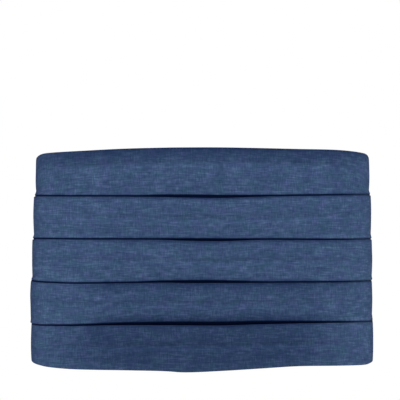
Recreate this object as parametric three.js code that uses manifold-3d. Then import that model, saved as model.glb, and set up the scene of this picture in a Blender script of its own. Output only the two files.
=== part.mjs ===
// A pleated cummerbund, closed in a loop as it is worn: five cloth pleats with their folded edges
// up cross the front and the sides, and draw in at the back to a strap on each side, whose end is
// looped through one plain clasp. Millimetres, +Z up; the front faces -Y and the origin is the
// middle of the loop, at half the height of the front.
import * as THREE from "three";
import { mergeVertices } from "three/addons/utils/BufferGeometryUtils.js";
import Module from "manifold-3d";

const wasm = await Module();
wasm.setup();

// Cloth
const WALL = 1.0; // one ply
const PLY_GAP = 0.3; // between plies, and between a ply and what holds it

// Front, as it shows from straight ahead
const FRONT_WIDTH = 231.5; // from side to side at the bottom pleat
const FRONT_HEIGHT = 150; // in the middle
const STEP_OUT = 3.4; // the lower pleats stand out up to this much further than the top one
const TOP_LEAN = 3; // the middle of the top edge lies back this far
const BOTTOM_LEAN = 5; // and the middle of the bottom edge

// Loop from above, along the inner side of the band
const LOOP_DEPTH = 108;
const FRONT_RADIUS = 550;
const FRONT_CORNER_RADIUS = 34;
const BACK_STRAIGHT = 6; // beside each strap's tab, before the back corner begins

// Pleats
const PLEAT_OVERLAP = 18; // how far one pleat is hidden behind the next
const HEM = 8; // bottom edge, turned up inside
const DIVE = 3.6; // height over which a pleat turns in behind the next one, in the middle
const SIDE_DIVE = 1.8; // and at the sides
const FACE_BULGE = 0.6; // in the middle of the front
const SIDE_BULGE = 0.2;
const FULLEST = [0.35, 0.75]; // shares of the face's height between which it bulges furthest
const FOLD_STEPS = 3; // round each folded edge
const GAPE = 1.6; // how far the widest pocket opens in the middle of the front
const GAPE_FADE = 14; // height below the folded edge where it has closed again

const END_HEIGHT = 60; // all the pleats' ends together, at the back

// Straps
const TAB_LENGTH = 12; // the tab covers this much of the pleats' ends
const TAB_WALL = 1.2;
const TAB_RIM = 2.7; // above and below the pleats' ends
const TAB_SLOPE = 16; // length over which the tab narrows to the strap
const STRAP_LENGTH = 11.5; // from the clasp's bar to where the tab begins to widen
const STRAP_WIDTH = 38;
const STRAP_PLY = 1.2;
const STRAP_THICKNESS = 2.4;

// Clasp
const CLASP_PLATE = 2.0;
const CLASP_BAR = 3.0; // the upright bar that a strap is looped round
const CLASP_SLOT = 6.0;
const CLASP_RIM = 4.0; // above and below the slots
const CLASP_MIDDLE = 16; // between the slots
const CLASP_CORNER = 3.0;
const SLOT_CLEARANCE = 0.6; // at each edge of the strap

// Where the top edge, the folded edges and the bottom edge run, from the left side to the right.
// along: share of the way from the middle of the front to where the side is widest.
// The others: height above or below the middle, as a share of half the front's height.
const EDGES = [
  { along: -1.0, top: 0.897, fold2: 0.56, fold3: 0.176, fold4: -0.2, fold5: -0.585, bottom: -0.912 },
  { along: -0.93, top: 0.926, fold2: 0.561, fold3: 0.177, fold4: -0.203, fold5: -0.59, bottom: -0.934 },
  { along: -0.87, top: 0.945, fold2: 0.562, fold3: 0.178, fold4: -0.208, fold5: -0.596, bottom: -0.95 },
  { along: -0.8, top: 0.954, fold2: 0.561, fold3: 0.177, fold4: -0.213, fold5: -0.597, bottom: -0.967 },
  { along: -0.66, top: 0.967, fold2: 0.559, fold3: 0.175, fold4: -0.22, fold5: -0.597, bottom: -0.985 },
  { along: -0.42, top: 0.988, fold2: 0.559, fold3: 0.175, fold4: -0.215, fold5: -0.589, bottom: -0.993 },
  { along: -0.2, top: 0.998, fold2: 0.556, fold3: 0.173, fold4: -0.209, fold5: -0.589, bottom: -1.001 },
  { along: -0.09, top: 1.0, fold2: 0.551, fold3: 0.166, fold4: -0.212, fold5: -0.59, bottom: -1.012 },
  { along: 0.1, top: 1.0, fold2: 0.548, fold3: 0.162, fold4: -0.212, fold5: -0.591, bottom: -0.999 },
  { along: 0.3, top: 0.994, fold2: 0.559, fold3: 0.173, fold4: -0.211, fold5: -0.581, bottom: -0.978 },
  { along: 0.5, top: 0.986, fold2: 0.565, fold3: 0.172, fold4: -0.209, fold5: -0.574, bottom: -0.957 },
  { along: 0.7, top: 0.978, fold2: 0.569, fold3: 0.171, fold4: -0.208, fold5: -0.569, bottom: -0.953 },
  { along: 0.87, top: 0.953, fold2: 0.572, fold3: 0.175, fold4: -0.201, fold5: -0.565, bottom: -0.947 },
  { along: 0.93, top: 0.938, fold2: 0.572, fold3: 0.176, fold4: -0.2, fold5: -0.564, bottom: -0.933 },
  { along: 1.0, top: 0.9, fold2: 0.572, fold3: 0.176, fold4: -0.198, fold5: -0.562, bottom: -0.915 },
];

// One row a pleat, from the top. edge and below: its own folded edge and the next one, in EDGES.
// left, right: how far its face stands out on each side, as a share of STEP_OUT. gape: how far its
// pocket opens, as a share of GAPE, with its middle at gapeAt and reaching gapeReach each way,
// both as shares of the way from the middle of the front to the side.
const PLEATS = [
  { edge: "top", below: "fold2", left: 0, right: 0, gape: 0, gapeAt: 0, gapeReach: 1 },
  { edge: "fold2", below: "fold3", left: 0.43, right: 0.35, gape: 0.7, gapeAt: 0, gapeReach: 0.38 },
  { edge: "fold3", below: "fold4", left: 0.73, right: 0.55, gape: 0.55, gapeAt: 0.03, gapeReach: 0.3 },
  { edge: "fold4", below: "fold5", left: 1.05, right: 0.57, gape: 0.6, gapeAt: 0, gapeReach: 0.36 },
  { edge: "fold5", below: "bottom", left: 0.93, right: 0.77, gape: 1, gapeAt: 0.02, gapeReach: 0.85 },
];

// Sizes that follow from those above
const STACK = 3 * WALL + 2 * PLY_GAP; // tail of the pleat above, turned-in ply, face
const TAIL_OUT = WALL / 2;
const TURNED_OUT = 1.5 * WALL + PLY_GAP;
const FACE_OUT = 2.5 * WALL + 2 * PLY_GAP;
const FOLD_RADIUS = (FACE_OUT - TURNED_OUT) / 2;
const FOLD_OUTSIDE = FOLD_RADIUS + WALL / 2;
const HALF_HEIGHT = FRONT_HEIGHT / 2;
const SLOT_INNER_X = CLASP_MIDDLE / 2;
const BAR_INNER_X = SLOT_INNER_X + CLASP_SLOT;
const BAR_OUTER_X = BAR_INNER_X + CLASP_BAR;
const TAB_END_X = BAR_OUTER_X + STRAP_LENGTH + TAB_SLOPE; // where its full height begins
const PLEATS_END_X = TAB_END_X + TAB_WALL + PLY_GAP;
const TAB_START_X = PLEATS_END_X + TAB_LENGTH;
const LOOP_HALF_WIDTH = FRONT_WIDTH / 2 - STACK - STEP_OUT - SIDE_BULGE;
const BACK_CORNER_RADIUS = LOOP_HALF_WIDTH - TAB_START_X - BACK_STRAIGHT;
const FRONT_Y = -LOOP_DEPTH / 2;
const BACK_Y = LOOP_DEPTH / 2;
const MID_OUT = STACK / 2; // straps and clasp run at the middle of the pleats' thickness
const SLOT_HEIGHT = STRAP_WIDTH + 2 * SLOT_CLEARANCE;

// The right half of the loop from the middle of the front to the middle of the back, as arcs and
// straights that run into each other, with the number of steps each takes in the model
const frontTurn = Math.asin(
  (LOOP_HALF_WIDTH - FRONT_CORNER_RADIUS) / (FRONT_RADIUS - FRONT_CORNER_RADIUS),
);
const frontDepth =
  FRONT_RADIUS * (1 - Math.cos(frontTurn)) + FRONT_CORNER_RADIUS * Math.cos(frontTurn);
const LOOP = [
  { name: "front", radius: FRONT_RADIUS, turn: frontTurn, steps: 7 },
  { name: "front corner", radius: FRONT_CORNER_RADIUS, turn: Math.PI / 2 - frontTurn, steps: 6 },
  { name: "side", length: LOOP_DEPTH - frontDepth - BACK_CORNER_RADIUS, steps: 1 },
  { name: "back corner", radius: BACK_CORNER_RADIUS, turn: Math.PI / 2, steps: 5 },
  { name: "back", length: BACK_STRAIGHT / 2, steps: 1 },
  { name: "back and tab", length: TAB_START_X + BACK_STRAIGHT / 2, steps: 1 },
];
for (const piece of LOOP) piece.length ??= piece.radius * piece.turn;
const HALF_LOOP = LOOP.reduce((sum, piece) => sum + piece.length, 0);
const TO_SIDE = LOOP[0].length + LOOP[1].length; // to where the side is widest
const TO_TAB = HALF_LOOP - TAB_START_X - BACK_STRAIGHT / 2;
const TO_END = HALF_LOOP - PLEATS_END_X;

// A point of the loop: the distance along it from the middle of the front, positive to the right,
// how far out from its inner side, and the height
function onLoop(along, out, height) {
  let left = Math.abs(along);
  let heading = 0;
  let x = 0;
  let y = FRONT_Y;
  for (const piece of LOOP) {
    const step = Math.min(left, piece.length);
    if (piece.radius) {
      const next = heading + step / piece.radius;
      x += piece.radius * (Math.sin(next) - Math.sin(heading));
      y += piece.radius * (Math.cos(heading) - Math.cos(next));
      heading = next;
    } else {
      x += step * Math.cos(heading);
      y += step * Math.sin(heading);
    }
    left -= step;
  }
  x += out * Math.sin(heading);
  y -= out * Math.cos(heading);
  return new THREE.Vector3(Math.sign(along) * x, y, height);
}

const clamp01 = (t) => Math.min(1, Math.max(0, t));
const smooth = (t) => clamp01(t) ** 2 * (3 - 2 * clamp01(t));
const hump = (t) => (Math.abs(t) < 1 ? (1 - t * t) ** 2 : 0);

// A column of EDGES at a place between its rows, on a smooth curve through them
function edgeShare(column, at) {
  const rows = EDGES;
  const last = rows.length - 1;
  let i = 0;
  while (i < last - 1 && at > rows[i + 1].along) i++;
  const slope = (j) => {
    const a = rows[Math.max(0, j - 1)];
    const b = rows[Math.min(last, j + 1)];
    return (b[column] - a[column]) / (b.along - a.along);
  };
  const span = rows[i + 1].along - rows[i].along;
  const t = clamp01((at - rows[i].along) / span);
  const bend0 = t * (1 - t) ** 2 * span * slope(i);
  const bend1 = t * t * (t - 1) * span * slope(i + 1);
  return rows[i][column] + (rows[i + 1][column] - rows[i][column]) * smooth(t) + bend0 + bend1;
}

// Share of the way from the widest part of the side to the strap's tab
const pastSide = (along) => clamp01((Math.abs(along) - TO_SIDE) / (TO_TAB - TO_SIDE));

// Height of an edge anywhere on the loop. Past the sides all the edges draw in evenly, on a curve
// that leaves the side at a slope and arrives level at the tab.
const EDGE_NAMES = [...PLEATS.map((pleat) => pleat.edge), "bottom"];
function edgeHeight(column, along) {
  const atSide = edgeShare(column, THREE.MathUtils.clamp(along / TO_SIDE, -1, 1)) * HALF_HEIGHT;
  const atEnd = END_HEIGHT * (0.5 - EDGE_NAMES.indexOf(column) / PLEATS.length);
  const t = pastSide(along);
  const drawn = 0.6 * t + 1.2 * t * t - 0.8 * t ** 3;
  return THREE.MathUtils.lerp(atSide, atEnd, drawn);
}

// How far out a pleat's inner side is. The steps close up towards the back.
function stepOut(pleat, along) {
  const rightward = smooth((along / TO_SIDE + 1) / 2);
  const step = THREE.MathUtils.lerp(pleat.left, pleat.right, rightward);
  return step * STEP_OUT * (1 - smooth(pastSide(along)));
}

// How far the whole band lies back towards its top and bottom edges, most in the middle
function lean(along, height) {
  const farthest = height > 0 ? TOP_LEAN : BOTTOM_LEAN;
  return -farthest * hump(along / TO_SIDE) * Math.abs(height / HALF_HEIGHT) ** 3;
}

// The middle line of one pleat's cloth at a place on the loop, from the lower edge of the ply that
// is turned in, over the folded edge, down the face, and in behind the next pleat
function pleatLine(pleat, along) {
  const next = PLEATS[PLEATS.indexOf(pleat) + 1];
  const base = stepOut(pleat, along);
  const bulge = THREE.MathUtils.lerp(SIDE_BULGE, FACE_BULGE, hump(along / TO_SIDE));
  const bulged = FACE_OUT + bulge * (1 - smooth(pastSide(along)));
  const top = edgeHeight(pleat.edge, along);
  const below = edgeHeight(pleat.below, along);
  const pitch = top - below;
  const overlap = Math.min(PLEAT_OVERLAP, (PLEAT_OVERLAP / FRONT_HEIGHT) * PLEATS.length * pitch);
  const gapeOf = (row) =>
    row ? row.gape * GAPE * hump((along / TO_SIDE - row.gapeAt) / row.gapeReach) : 0;
  const opened = (height) => gapeOf(pleat) * clamp01(1 - (top - height) / GAPE_FADE);
  const line = [];
  const add = (out, height) => line.push({ out: base + out + opened(height), height });

  const foldCentre = top - FOLD_OUTSIDE;
  add(TURNED_OUT, top - overlap);
  for (let step = 0; step <= FOLD_STEPS; step++) {
    const angle = Math.PI * (1 - step / FOLD_STEPS);
    add(
      TURNED_OUT + FOLD_RADIUS * (1 + Math.cos(angle)),
      foldCentre + FOLD_RADIUS * Math.sin(angle),
    );
  }
  if (!next) {
    const hemCentre = below + FOLD_OUTSIDE;
    for (const share of FULLEST)
      add(bulged, THREE.MathUtils.lerp(foldCentre, hemCentre, share));
    for (let step = 0; step <= FOLD_STEPS; step++) {
      const angle = (-Math.PI * step) / FOLD_STEPS;
      add(
        TURNED_OUT + FOLD_RADIUS * (1 + Math.cos(angle)),
        hemCentre + FOLD_RADIUS * Math.sin(angle),
      );
    }
    add(TURNED_OUT, below + Math.min(HEM, pitch - overlap - PLY_GAP));
    return line;
  }
  const nextBase = stepOut(next, along) - base;
  const dive = THREE.MathUtils.lerp(DIVE, SIDE_DIVE, smooth(Math.abs(along) / TO_SIDE));
  const diveTop = below + dive + gapeOf(next);
  for (const share of FULLEST)
    add(bulged, THREE.MathUtils.lerp(foldCentre, diveTop, share));
  add(FACE_OUT, diveTop);
  add((FACE_OUT + TAIL_OUT + nextBase) / 2, below + 0.8 * FOLD_OUTSIDE + 0.4 * gapeOf(next));
  add(TAIL_OUT + nextBase, below - 0.25 * FOLD_OUTSIDE);
  add(TAIL_OUT + nextBase, below - Math.min(overlap, pitch - WALL));
  return line;
}

// A wall round a middle line: both sides of it, as one closed outline of points
function wallOutline(line) {
  const outer = [];
  const inner = [];
  line.forEach((point, i) => {
    const before = line[Math.max(0, i - 1)];
    const after = line[Math.min(line.length - 1, i + 1)];
    const normalOf = (a, b) =>
      new THREE.Vector2(a.height - b.height, b.out - a.out).normalize();
    const one = normalOf(before === point ? point : before, before === point ? after : point);
    const two = normalOf(point === after ? before : point, after);
    const middle = one.clone().add(two).normalize();
    const reach = WALL / 2 / Math.max(0.8, middle.dot(two));
    outer.push(new THREE.Vector2(point.out, point.height).addScaledVector(middle, reach));
    inner.push(new THREE.Vector2(point.out, point.height).addScaledVector(middle, -reach));
  });
  return [...outer, ...inner.reverse()];
}

// A closed skin through the outlines of a wall, whose two ends are filled in from side to side
function loft(rings) {
  const count = rings[0].length;
  const last = (rings.length - 1) * count;
  const index = [];
  for (let start = 0; start < last; start += count)
    for (let j = 0; j < count; j++) {
      const a = start + j;
      const b = start + ((j + 1) % count);
      index.push(a, b, a + count, b, b + count, a + count);
    }
  for (let i = 0; i + 1 < count / 2; i++) {
    const [a, b, c, d] = [i, i + 1, count - 2 - i, count - 1 - i];
    index.push(b, a, d, b, d, c);
    index.push(last + a, last + b, last + d, last + d, last + b, last + c);
  }
  const geometry = new THREE.BufferGeometry();
  const positions = rings.flat().flatMap((point) => point.toArray());
  geometry.setAttribute("position", new THREE.Float32BufferAttribute(positions, 3));
  geometry.setIndex(index);
  return geometry;
}

// Places round the loop where the pleats' sections are taken
function stations() {
  const half = [];
  let start = 0;
  for (const piece of LOOP) {
    const length = Math.min(piece.length, TO_END - start);
    for (let step = 1; step <= piece.steps; step++)
      half.push(start + (length * step) / piece.steps);
    start += length;
  }
  return [...half.map((along) => -along).reverse(), 0, ...half];
}

function pleatGeometry(pleat) {
  const places = stations();
  return loft(
    places.map((along) =>
      wallOutline(pleatLine(pleat, along)).map((point) =>
        onLoop(along, point.x + lean(along, point.y), point.y),
      ),
    ),
  );
}

// Cutting and joining
function solidOf(geometry) {
  const bare = geometry.clone();
  bare.deleteAttribute("normal");
  bare.deleteAttribute("uv");
  const merged = mergeVertices(bare, 1e-4);
  return new wasm.Manifold(
    new wasm.Mesh({
      numProp: 3,
      vertProperties: merged.getAttribute("position").array,
      triVerts: new Uint32Array(merged.index.array),
    }),
  );
}

function geometryOf(solid) {
  const mesh = solid.getMesh();
  const geometry = new THREE.BufferGeometry();
  geometry.setAttribute("position", new THREE.BufferAttribute(mesh.vertProperties, 3));
  geometry.setIndex(new THREE.BufferAttribute(mesh.triVerts, 1));
  return geometry;
}

function extruded(shape, depth) {
  return new THREE.ExtrudeGeometry(shape, { depth, bevelEnabled: false, curveSegments: 6 });
}

// A shape drawn in x and in the distance out from the middle of the pleats' thickness at the back,
// made solid from -height/2 to +height/2
function upright(shape, height) {
  return solidOf(extruded(shape, height).translate(0, BACK_Y + MID_OUT, -height / 2));
}

// A shape drawn in x and z, made solid to half a thickness on both sides of that middle
function acrossBack(shape, thickness) {
  const geometry = extruded(shape, thickness);
  geometry.rotateX(Math.PI / 2);
  geometry.translate(0, BACK_Y + MID_OUT + thickness / 2, 0);
  return solidOf(geometry);
}

// A block at the back, with its middle at x, in the middle of the pleats' thickness
function blockAtBack(x, width, depth, height) {
  return solidOf(new THREE.BoxGeometry(width, depth, height).translate(x, BACK_Y + MID_OUT, 0));
}

function outlineShape(points) {
  return new THREE.Shape(points.map(([x, y]) => new THREE.Vector2(x, y)));
}

function roundedRectangle(width, height, radius) {
  const x = width / 2;
  const y = height / 2;
  const shape = new THREE.Shape();
  shape.moveTo(-x + radius, -y);
  shape.lineTo(x - radius, -y);
  shape.absarc(x - radius, -y + radius, radius, -Math.PI / 2, 0);
  shape.lineTo(x, y - radius);
  shape.absarc(x - radius, y - radius, radius, 0, Math.PI / 2);
  shape.lineTo(-x + radius, y);
  shape.absarc(-x + radius, y - radius, radius, Math.PI / 2, Math.PI);
  shape.lineTo(-x, -y + radius);
  shape.absarc(-x + radius, -y + radius, radius, Math.PI, 1.5 * Math.PI);
  return shape;
}

// One plain plate with a slot on each side for the straps
function claspGeometry() {
  const shape = roundedRectangle(2 * BAR_OUTER_X, SLOT_HEIGHT + 2 * CLASP_RIM, CLASP_CORNER);
  let plate = acrossBack(shape, CLASP_PLATE);
  const slotX = (SLOT_INNER_X + BAR_INNER_X) / 2;
  for (const x of [-slotX, slotX])
    plate = plate.subtract(blockAtBack(x, CLASP_SLOT, 2 * CLASP_PLATE, SLOT_HEIGHT));
  return geometryOf(plate);
}

// The right strap: a tab that takes the pleats' ends between its two walls, which come together in
// a flat strap whose end goes round the clasp's bar and is sewn to itself
function strapGeometry() {
  const tabOut = STACK / 2 + PLY_GAP + TAB_WALL;
  const tabHeight = END_HEIGHT / 2 + PLY_GAP + TAB_RIM;
  const loopHole = CLASP_PLATE / 2 + PLY_GAP;
  const loopOut = loopHole + STRAP_PLY;
  const loopEnd = BAR_INNER_X - PLY_GAP - STRAP_PLY;
  const half = STRAP_THICKNESS / 2;

  const plan = outlineShape([
    [TAB_START_X, -tabOut],
    [TAB_END_X, -tabOut],
    [TAB_END_X - TAB_SLOPE / 2, -half],
    [BAR_OUTER_X + 2 * loopOut, -half],
    [BAR_OUTER_X + PLY_GAP, -loopOut],
    [loopEnd + STRAP_PLY, -loopOut],
    [loopEnd, -loopHole],
    [loopEnd, loopHole],
    [loopEnd + STRAP_PLY, loopOut],
    [BAR_OUTER_X + PLY_GAP, loopOut],
    [BAR_OUTER_X + 2 * loopOut, half],
    [TAB_END_X - TAB_SLOPE / 2, half],
    [TAB_END_X, tabOut],
    [TAB_START_X, tabOut],
  ]);
  const thick = upright(plan, 2 * tabHeight);

  const face = outlineShape([
    [TAB_START_X, -tabHeight],
    [TAB_START_X, tabHeight],
    [TAB_END_X, tabHeight],
    [TAB_END_X - TAB_SLOPE, STRAP_WIDTH / 2],
    [0, STRAP_WIDTH / 2],
    [0, -STRAP_WIDTH / 2],
    [TAB_END_X - TAB_SLOPE, -STRAP_WIDTH / 2],
    [TAB_END_X, -tabHeight],
  ]);
  const outline = acrossBack(face, 4 * tabOut);

  const pocketHalf = STACK / 2 + PLY_GAP;
  const pocketPlan = outlineShape([
    [TAB_START_X + TAB_LENGTH, -pocketHalf],
    [TAB_START_X + TAB_LENGTH, pocketHalf],
    [TAB_END_X, pocketHalf],
    [TAB_END_X - TAB_SLOPE / 2 + PLY_GAP, 0],
    [TAB_END_X, -pocketHalf],
  ]);
  const pocket = upright(pocketPlan, END_HEIGHT + 2 * PLY_GAP);
  const barX = (BAR_INNER_X + BAR_OUTER_X) / 2;
  const barHole = blockAtBack(barX, CLASP_BAR + 2 * PLY_GAP, 2 * loopHole, 2 * STRAP_WIDTH);
  return geometryOf(thick.intersect(outline).subtract(pocket).subtract(barHole));
}

const cloth = new THREE.MeshStandardMaterial({ color: 0x3d5174, roughness: 0.85, metalness: 0 });
const metal = new THREE.MeshStandardMaterial({ color: 0xb9bbbf, roughness: 0.35, metalness: 1 });

const cummerbund = new THREE.Group();
function addPiece(name, geometry, material) {
  geometry.computeVertexNormals();
  const mesh = new THREE.Mesh(geometry, material);
  mesh.name = name;
  cummerbund.add(mesh);
  return mesh;
}

PLEATS.forEach((pleat, i) => addPiece(`pleat_${i + 1}`, pleatGeometry(pleat), cloth));
addPiece("strap_left", strapGeometry(), cloth).scale.x = -1;
addPiece("strap_right", strapGeometry(), cloth);
addPiece("clasp", claspGeometry(), metal);

export default cummerbund;
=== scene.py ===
# The looks of a pleated cummerbund, worn closed in a loop: five cloth pleats with their folded
# edges up, a cloth strap on each side at the back, and one flat clasp. Lengths are in metres, +Z
# is up, and the front faces -Y.
import math

import bmesh
import bpy
import numpy as np
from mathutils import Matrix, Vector, noise


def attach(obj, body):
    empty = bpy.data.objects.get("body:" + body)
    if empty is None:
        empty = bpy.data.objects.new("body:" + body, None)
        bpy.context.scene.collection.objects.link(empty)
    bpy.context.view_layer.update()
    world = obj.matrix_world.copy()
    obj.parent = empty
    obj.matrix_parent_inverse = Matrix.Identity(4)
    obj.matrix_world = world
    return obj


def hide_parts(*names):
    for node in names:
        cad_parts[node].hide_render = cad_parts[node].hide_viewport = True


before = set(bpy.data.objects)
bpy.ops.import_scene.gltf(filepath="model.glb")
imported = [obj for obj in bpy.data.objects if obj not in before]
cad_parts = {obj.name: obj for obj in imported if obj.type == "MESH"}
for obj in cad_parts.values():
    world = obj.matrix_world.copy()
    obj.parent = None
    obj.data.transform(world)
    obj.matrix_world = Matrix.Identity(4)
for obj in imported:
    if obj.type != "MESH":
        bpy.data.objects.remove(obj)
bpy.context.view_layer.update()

MM = 0.001

# The camera looks straight at the front through a long lens, from a little above the middle of
# the band. PIXEL is the width of the front that one pixel of the picture covers.
PICTURE_WIDTH = 400
PIXEL = 0.67 * MM
SENSOR_WIDTH = 36
CAMERA_DISTANCE = 8.0
CAMERA_X = -1.7 * MM
CAMERA_HEIGHT = 39.7 * MM
FRONT_PLANE_Y = -59 * MM

camera_data = bpy.data.cameras.new("camera")
camera_data.sensor_width = SENSOR_WIDTH
camera_data.lens = SENSOR_WIDTH * CAMERA_DISTANCE / (PICTURE_WIDTH * PIXEL)
camera_data.clip_end = 100
camera = bpy.data.objects.new("camera", camera_data)
camera.location = (CAMERA_X, FRONT_PLANE_Y - CAMERA_DISTANCE, CAMERA_HEIGHT)
camera.rotation_euler = (math.pi / 2, 0, 0)
bpy.context.scene.collection.objects.link(camera)
bpy.context.scene.camera = camera

# The pleats: five strips of dull navy cloth, each pressed over along its top edge in a soft fold.
# Every fold lies over the bottom of the pleat above and forms a shallow pocket with it. Hidden
# tacks hold the strips to one another, and the straps' tabs hold their ends.

# Sizes and tables that the part's own solids are made from too
FRONT_WIDTH = 231.5 * MM
FRONT_HEIGHT = 150 * MM
STEP_OUT = 3.4 * MM  # about how far the lower pleats stand out past the top one
TOP_LEAN = 3 * MM  # how far the middle of the top edge lies back
BOTTOM_LEAN = 5 * MM  # and the middle of the bottom edge
STACK = 3.6 * MM  # the pleats' thickness where they overlap
LOOP_DEPTH = 108 * MM
FRONT_RADIUS = 550 * MM
FRONT_CORNER_RADIUS = 34 * MM
BACK_STRAIGHT = 6 * MM
PLEAT_OVERLAP = 18 * MM
HEM = 8 * MM
FACE_BULGE = 0.6 * MM
SIDE_BULGE = 0.2 * MM
GAPE = 1.6 * MM  # how far the widest pocket opens
GAPE_FADE = 14 * MM  # height below the fold where it has closed again
END_HEIGHT = 60 * MM  # all the pleats' ends together, at the back
PLEATS_END_X = 46 * MM
TAB_START_X = 58 * MM
HALF_HEIGHT = FRONT_HEIGHT / 2
LOOP_HALF_WIDTH = FRONT_WIDTH / 2 - STACK - STEP_OUT - SIDE_BULGE
BACK_CORNER_RADIUS = LOOP_HALF_WIDTH - TAB_START_X - BACK_STRAIGHT
BACK_Y = LOOP_DEPTH / 2

# Where the top edge, the folded edges and the bottom edge run, from the left side to the right.
# along: share of the way from the middle of the front to where the side is widest. The others:
# height above or below the middle, as a share of half the front's height.
EDGE_COLUMNS = ("along", "top", "fold2", "fold3", "fold4", "fold5", "bottom")
EDGES = np.array(
    [
        (-1.0, 0.897, 0.56, 0.176, -0.2, -0.585, -0.912),
        (-0.93, 0.926, 0.561, 0.177, -0.203, -0.59, -0.934),
        (-0.87, 0.945, 0.562, 0.178, -0.208, -0.596, -0.95),
        (-0.8, 0.954, 0.561, 0.177, -0.213, -0.597, -0.967),
        (-0.66, 0.967, 0.559, 0.175, -0.22, -0.597, -0.985),
        (-0.42, 0.988, 0.559, 0.175, -0.215, -0.589, -0.993),
        (-0.2, 0.998, 0.556, 0.173, -0.209, -0.589, -1.001),
        (-0.09, 1.0, 0.551, 0.166, -0.212, -0.59, -1.012),
        (0.1, 1.0, 0.548, 0.162, -0.212, -0.591, -0.999),
        (0.3, 0.994, 0.559, 0.173, -0.211, -0.581, -0.978),
        (0.5, 0.986, 0.565, 0.172, -0.209, -0.574, -0.957),
        (0.7, 0.978, 0.569, 0.171, -0.208, -0.569, -0.953),
        (0.87, 0.953, 0.572, 0.175, -0.201, -0.565, -0.947),
        (0.93, 0.938, 0.572, 0.176, -0.2, -0.564, -0.933),
        (1.0, 0.9, 0.572, 0.176, -0.198, -0.562, -0.915),
    ]
)

# One row a pleat, from the top: its own folded edge and the next one; how far its face stands out
# on the left and the right, as shares of STEP_OUT; how far its pocket opens, as a share of GAPE,
# where, and how far that reaches each way, as shares of the way to the side.
PLEAT_COLUMNS = ("edge", "below", "left", "right", "gape", "gape_at", "gape_reach")
PLEAT_ROWS = [
    ("top", "fold2", 0.0, 0.0, 0.0, 0.0, 1.0),
    ("fold2", "fold3", 0.43, 0.35, 0.7, 0.0, 0.38),
    ("fold3", "fold4", 0.73, 0.55, 0.55, 0.03, 0.3),
    ("fold4", "fold5", 1.05, 0.57, 0.6, 0.0, 0.36),
    ("fold5", "bottom", 0.93, 0.77, 1.0, 0.02, 0.85),
]
PLEATS = [dict(zip(PLEAT_COLUMNS, row)) for row in PLEAT_ROWS]

# The right half of the loop from above, as arcs and straights: radius (0 is straight), length
front_turn = math.asin(
    (LOOP_HALF_WIDTH - FRONT_CORNER_RADIUS) / (FRONT_RADIUS - FRONT_CORNER_RADIUS)
)
front_depth = FRONT_RADIUS * (1 - math.cos(front_turn)) + FRONT_CORNER_RADIUS * math.cos(front_turn)
LOOP = [
    (FRONT_RADIUS, FRONT_RADIUS * front_turn),
    (FRONT_CORNER_RADIUS, FRONT_CORNER_RADIUS * (math.pi / 2 - front_turn)),
    (0.0, LOOP_DEPTH - front_depth - BACK_CORNER_RADIUS),
    (BACK_CORNER_RADIUS, BACK_CORNER_RADIUS * math.pi / 2),
    (0.0, LOOP_HALF_WIDTH - BACK_CORNER_RADIUS),
]
HALF_LOOP = sum(length for _, length in LOOP)
TO_SIDE = LOOP[0][1] + LOOP[1][1]
TO_TAB = HALF_LOOP - TAB_START_X - BACK_STRAIGHT / 2
TO_END = HALF_LOOP - PLEATS_END_X

# Sizes of the cloth itself, thinner and softer here than in the solids
WALL = 0.5 * MM
PLY_GAP = 0.15 * MM  # between two plies that lie on each other
FOLD_RADIUS = 0.4 * MM
FACE_OUT = STACK - WALL / 2
TURNED_OUT = FACE_OUT - 2 * FOLD_RADIUS
TAIL_OUT = TURNED_OUT - WALL - PLY_GAP
GAPING_TAIL_OUT = 0.5 * MM
STATION_STEP = 1.6 * MM
SOFT_TURN = 2.6 * MM  # height over which a face turns to meet the next pleat's fold
CREASE = 1.4 * MM  # height of the dark gap over a folded edge
LIP_RISE = 1.5 * MM  # how much higher a face ends where the next pocket is wide open
LIP_TUCK = 0.45 * MM  # and how far it is drawn in there
LIP_FLARE = 0.35 * MM  # how far a face flares just over the next fold, where that lies closed
LIP_CURL = 0.1 * MM  # how far the lip leans in as it turns
LIP_DROP = 0.45 * MM  # and how far it drops
INWARD_DROP = 0.5 * MM  # how far below the lip the cloth runs inwards
TAIL_TOP = 0.6 * MM  # how far below the next folded edge the tail begins
TACK_LINE = (10.6 * MM, 14.2 * MM)  # below the top edge and each fold, where hidden tacks pull
TACK_DEPTH = 0.6 * MM
TACK_REACH = 3.4 * MM
RIDGE_X = -11 * MM  # a soft upright ridge in the lowest pleat
RIDGE_REACH = 7 * MM
RIDGE_RISE = 1.2  # times DENT_DEPTH
DENT_DEPTH = 0.3 * MM
DENT_LIFT = 0.1 * MM
BROAD_DENT = (34 * MM, 16 * MM)  # length along the pleat, and height
SMALL_DENT = (12 * MM, 9 * MM)

# Steps along each part of a strip's middle line
PLY_STEPS = 8
FOLD_STEPS = 10
FACE_STEPS = 33
LIP_STEPS = 7
INWARD_STEPS = 14
TAIL_STEPS = 10
HEM_STEPS = 6


# Places on the loop. along is the distance from the middle of the front, positive to the right,
# and out the distance from the band's inner side; both may be arrays.
def on_loop(along, out):
    left = np.abs(along)
    heading = np.zeros_like(left)
    x = np.zeros_like(left)
    y = np.full_like(left, -LOOP_DEPTH / 2)
    for radius, length in LOOP:
        step = np.minimum(left, length)
        if radius:
            turned = heading + step / radius
            x = x + radius * (np.sin(turned) - np.sin(heading))
            y = y + radius * (np.cos(heading) - np.cos(turned))
            heading = turned
        else:
            x = x + step * np.cos(heading)
            y = y + step * np.sin(heading)
        left = left - step
    return np.sign(along) * (x + out * np.sin(heading)), y - out * np.cos(heading)


def smooth(t):
    t = np.clip(t, 0, 1)
    return t * t * (3 - 2 * t)


def hump(t):
    return np.where(np.abs(t) < 1, (1 - np.minimum(1, t * t)) ** 2, 0)


def past_side(along):
    return np.clip((np.abs(along) - TO_SIDE) / (TO_TAB - TO_SIDE), 0, 1)


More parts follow.
